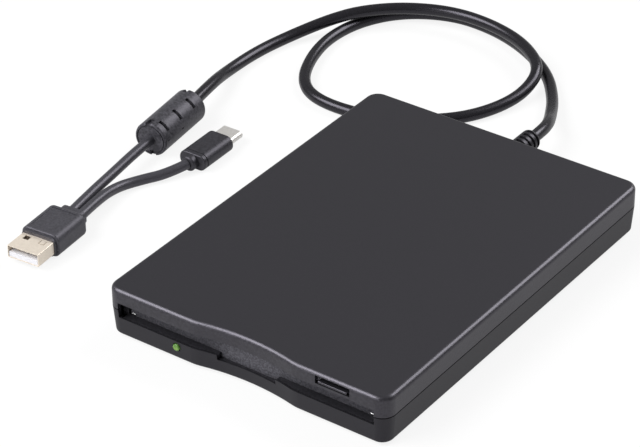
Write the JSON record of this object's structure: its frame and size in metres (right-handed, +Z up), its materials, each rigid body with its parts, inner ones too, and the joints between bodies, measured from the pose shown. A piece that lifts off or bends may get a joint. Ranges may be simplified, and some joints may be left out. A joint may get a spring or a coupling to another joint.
{
  "type": "external floppy disk drive",
  "caption": "Slim external drive for 3.5-inch disks with a slot, dust door and eject button, and a looped lead with a clip-on ferrite, a large plug and a small one.",
  "frame": {"origin": "on the table under the middle of the case, the lead left out", "axes": "+X to the right seen from the front, +Y to the back where the lead leaves, +Z up"},
  "size_m": [0.1691, 0.225, 0.0175],
  "materials": {
    "case_plastic": "moulded, fine grain",
    "door_plastic": "coarse grain",
    "inner_plastic": "moulded",
    "light_plastic": "moulded",
    "jacket": "smooth vinyl",
    "foot_rubber": "soft",
    "sheet_steel": "zinc plated",
    "bright_steel": "ground",
    "nickel": "nickel plated",
    "brass": "turned",
    "copper": "wound wire",
    "board": "lacquered",
    "ferrite": "sintered",
    "green_lens": "clear tinted"
  },
  "bodies": {
    "case": {"top_cover": "case_plastic", "bottom_cover": "case_plastic", "case_screws": "bright_steel", "rubber_feet": "foot_rubber", "slot_guide": "inner_plastic", "door_spring": "bright_steel", "eject_springs": "bright_steel", "led_lens": "green_lens", "led": "light_plastic", "mechanism_tray": "sheet_steel", "tray_screws": "bright_steel", "mechanism_lid": "sheet_steel", "spindle_board": "board", "spindle_coils": "copper", "spindle_bearing": "brass", "guide_rod": "bright_steel", "rod_clamps": "light_plastic", "screw_bearing": "light_plastic", "motor_bracket": "sheet_steel", "stepper_motor": "sheet_steel", "lever_post": "bright_steel", "controller_board": "board", "board_standoffs": "light_plastic", "board_chips": "inner_plastic", "usb_board": "board", "lead_socket": "light_plastic", "flat_cable": "light_plastic", "disk_switches": "inner_plastic", "track_zero_sensor": "inner_plastic", "strain_relief": "jacket", "cord_main": "jacket", "cord_plug_lead": "jacket", "cord_branch": "jacket", "ferrite_left_half": "case_plastic", "ferrite_right_half": "case_plastic", "ferrite_core": "ferrite", "usb_a_overmould": "jacket", "usb_a_shell": "nickel", "usb_a_tongue": "light_plastic", "usb_a_contacts": "brass", "usb_c_overmould": "jacket", "usb_c_shell": "nickel", "usb_c_insert": "inner_plastic"},
    "door": {"dust_door": "door_plastic", "door_rivets": "bright_steel"},
    "slide": {"eject_slide": "sheet_steel", "eject_button": "case_plastic"},
    "cradle": {"disk_cradle": "sheet_steel"},
    "lever": {"latch_lever": "light_plastic"},
    "carriage": {"head_carriage": "inner_plastic", "lower_head": "light_plastic"},
    "upper_arm": {"head_arm": "inner_plastic", "upper_head": "light_plastic"},
    "screw": {"lead_screw": "bright_steel"},
    "rotor": {"spindle_rotor": "bright_steel", "hub_magnet": "ferrite", "drive_pin": "bright_steel"}
  },
  "joints": [
    {"name": "door_swing", "type": "hinge", "parent": "case", "child": "door", "pos_m": [0, -0.0665, 0.0132], "axis": [1, 0, 0], "range_deg": [0, 85], "stiffness_Nm_per_rad": 0.0002, "springref_deg": -17.19},
    {"name": "eject_travel", "type": "slide", "parent": "case", "child": "slide", "axis": [0, -1, 0], "range_m": [0, 0.0035]},
    {"name": "cradle_drop", "type": "slide", "parent": "case", "child": "cradle", "axis": [0, 0, -1], "range_m": [0, 0.0022]},
    {"name": "latch_swing", "type": "hinge", "parent": "case", "child": "lever", "pos_m": [-0.0305, 0.046, 0.01], "axis": [0, 0, 1], "range_deg": [0, 20]},
    {"name": "head_travel", "type": "slide", "parent": "case", "child": "carriage", "axis": [0, -1, 0], "range_m": [0, 0.0148]},
    {"name": "arm_lift", "type": "hinge", "parent": "carriage", "child": "upper_arm", "pos_m": [0, 0.0499, 0.013], "axis": [1, 0, 0], "range_deg": [0, 9.6]},
    {"name": "screw_turn", "type": "hinge", "parent": "case", "child": "screw", "pos_m": [0.015, 0.03, 0.0076], "axis": [0, 1, 0], "range_deg": [0, 1777]},
    {"name": "spindle_turn", "type": "hinge", "parent": "case", "child": "rotor", "pos_m": [0, -0.017, 0.005], "axis": [0, 0, 1], "continuous": true}
  ],
  "couplings": [
    {"joint": "cradle_drop", "follows": "eject_travel", "ratio": 0.62857},
    {"joint": "latch_swing", "follows": "eject_travel", "rad_per_m": 99.733},
    {"joint": "arm_lift", "follows": "eject_travel", "rad_per_m": 47.87},
    {"joint": "screw_turn", "follows": "head_travel", "rad_per_m": 2094.4}
  ]
}
